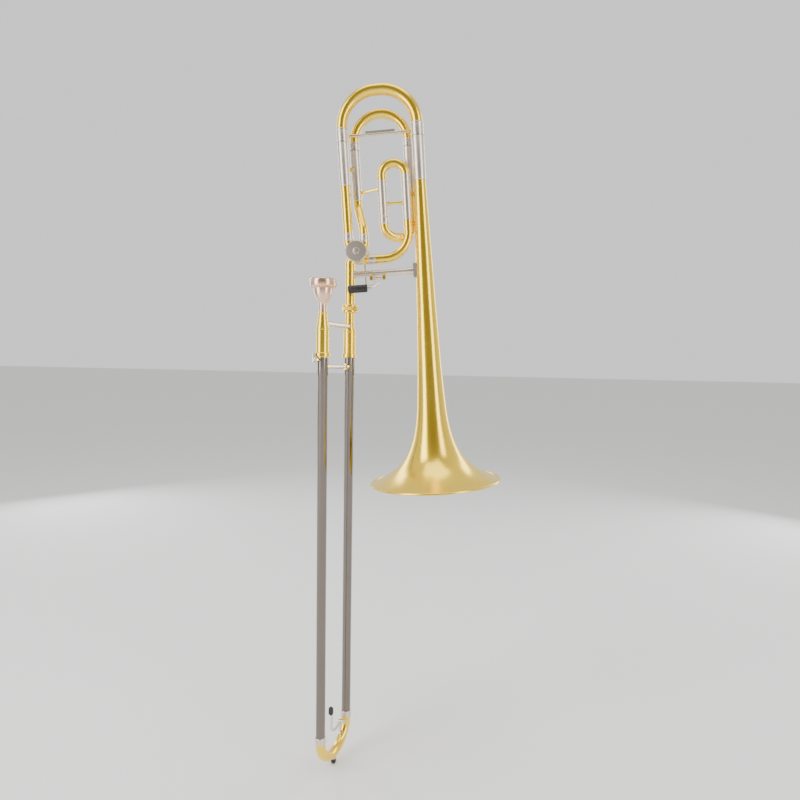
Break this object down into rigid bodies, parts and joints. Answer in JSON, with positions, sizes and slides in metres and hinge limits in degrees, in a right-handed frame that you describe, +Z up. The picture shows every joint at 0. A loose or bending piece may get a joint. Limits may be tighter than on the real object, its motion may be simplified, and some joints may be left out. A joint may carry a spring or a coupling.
{
  "type": "tenor trombone with rotary F attachment",
  "caption": "Tenor trombone with a hand slide, a rotary valve with a thumb lever and closed wrap, two tuning slides, a flared bell and a removable mouthpiece.",
  "frame": {"origin": "the neck joint: the axis of the slide's lower leg at the middle of the bell lock nut", "axes": "+Z up along the slide towards the tuning slide end, +X towards the bell, +Y away from the mouthpiece leg"},
  "size_m": [0.3016, 0.216, 1.1195],
  "materials": {
    "lacquered_brass": "polished and lacquered yellow brass",
    "nickel_silver": "polished nickel silver",
    "chrome_tube": "bright nickel and chrome plated tube",
    "silver_plate": "polished silver plate",
    "black_rubber": "black rubber",
    "cork": "cork",
    "spring_steel": "steel wire"
  },
  "bodies": {
    "inner_slide": {"mouthpiece_receiver": "lacquered_brass", "leadpipe": "lacquered_brass", "upper_cork_barrel": "lacquered_brass", "lower_cork_barrel": "lacquered_brass", "upper_inner_tube": "chrome_tube", "lower_inner_tube": "chrome_tube", "hand_brace": "nickel_silver", "slide_tenon": "lacquered_brass", "barrel_corks": "cork"},
    "mouthpiece_body": {"mouthpiece": "silver_plate"},
    "slide_lock": {"slide_lock_ring": "nickel_silver"},
    "lock_nut": {"bell_lock_nut": "lacquered_brass"},
    "hand_slide": {"upper_outer_tube": "chrome_tube", "lower_outer_tube": "chrome_tube", "outer_slide_brace": "nickel_silver", "slide_crook": "lacquered_brass", "crook_ferrules": "nickel_silver", "bumper_socket": "nickel_silver", "rubber_bumper": "black_rubber", "water_key_saddle": "nickel_silver", "water_key_pin": "spring_steel"},
    "water_key": {"water_key_lever": "nickel_silver", "water_key_cork": "cork", "water_key_touch_pad": "black_rubber", "water_key_spring": "spring_steel"},
    "main_tuning_slide": {"main_bow": "lacquered_brass", "main_bow_ferrules": "nickel_silver", "main_slide_legs": "nickel_silver"},
    "f_tuning_slide": {"f_bow": "lacquered_brass", "f_bow_ferrules": "nickel_silver", "f_slide_legs": "nickel_silver", "f_slide_brace": "nickel_silver"},
    "thumb_lever_body": {"thumb_lever": "nickel_silver", "thumb_grip": "black_rubber"},
    "rotor": {"rotor_core": "lacquered_brass", "stop_arm": "lacquered_brass"},
    "link": {"link_rod": "spring_steel"},
    "bell_section": {"neck_receiver": "lacquered_brass", "neckpipe": "lacquered_brass", "valve_casing": "lacquered_brass", "valve_knuckles": "lacquered_brass", "valve_front_cap": "nickel_silver", "valve_rear_bearing": "lacquered_brass", "tube_ferrules": "nickel_silver", "main_tube": "lacquered_brass", "main_slide_sleeves": "nickel_silver", "f_slide_sleeves": "nickel_silver", "s_tube": "lacquered_brass", "f_lower_bow": "lacquered_brass", "loop_left_tube": "nickel_silver", "loop_right_tube": "nickel_silver", "loop_bow": "lacquered_brass", "j_tube": "lacquered_brass", "bell_stem": "lacquered_brass", "bell_flare": "lacquered_brass", "tie_braces": "lacquered_brass", "bell_brace": "nickel_silver", "lever_posts": "lacquered_brass", "lever_hinge_pin": "spring_steel", "stop_corks": "cork"}
  },
  "joints": [
    {"name": "mouthpiece_pull", "type": "slide", "parent": "inner_slide", "child": "mouthpiece_body", "axis": [0, 0, 1], "range_m": [0, 0.03]},
    {"name": "lock_turn", "type": "hinge", "parent": "inner_slide", "child": "slide_lock", "pos_m": [-0.02686, -0.0798, -0.0793], "axis": [0, 0, 1], "range_deg": [0, 24]},
    {"name": "hand_slide_travel", "type": "slide", "parent": "inner_slide", "child": "hand_slide", "axis": [0, 0, -1], "range_m": [0, 0.585]},
    {"name": "water_key_press", "type": "hinge", "parent": "hand_slide", "child": "water_key", "pos_m": [-0.0067, -0.0199, -0.703], "axis": [-0.9478, 0.319, 0], "range_deg": [0, 18], "stiffness_Nm_per_rad": 0.05, "springref_deg": -20.05, "deforming": ["water_key_spring"]},
    {"name": "bell_turn", "type": "hinge", "parent": "inner_slide", "child": "bell_section", "pos_m": [0, 0, 0], "axis": [0, 0, 1], "range_deg": [-20, 20]},
    {"name": "lock_nut_turn", "type": "hinge", "parent": "inner_slide", "child": "lock_nut", "pos_m": [0, 0, 0], "axis": [0, 0, 1], "range_deg": [0, 540]},
    {"name": "main_tuning_travel", "type": "slide", "parent": "bell_section", "child": "main_tuning_slide", "axis": [-0.0745, 0, 0.9972], "range_m": [0, 0.05]},
    {"name": "f_tuning_travel", "type": "slide", "parent": "bell_section", "child": "f_tuning_slide", "axis": [-0.0745, 0, 0.9972], "range_m": [0, 0.055]},
    {"name": "thumb_lever_press", "type": "hinge", "parent": "bell_section", "child": "thumb_lever_body", "pos_m": [0.04647, -0.01, 0.0492], "axis": [0.9972, 0, 0.0745], "range_deg": [0, 25], "stiffness_Nm_per_rad": 0.3, "springref_deg": -22.92},
    {"name": "rotor_turn", "type": "hinge", "parent": "bell_section", "child": "rotor", "pos_m": [0.01224, 0, 0.09006], "axis": [0, -1, 0], "range_deg": [0, 90]},
    {"name": "link_swing", "type": "hinge", "parent": "rotor", "child": "link", "pos_m": [0.01967, 0.0216, 0.08367], "axis": [0, -1, 0], "range_deg": [-90, 0]}
  ],
  "couplings": [
    {"joint": "rotor_turn", "follows": "thumb_lever_press", "ratio": 3.6},
    {"joint": "link_swing", "follows": "thumb_lever_press", "ratio": -3.6}
  ]
}
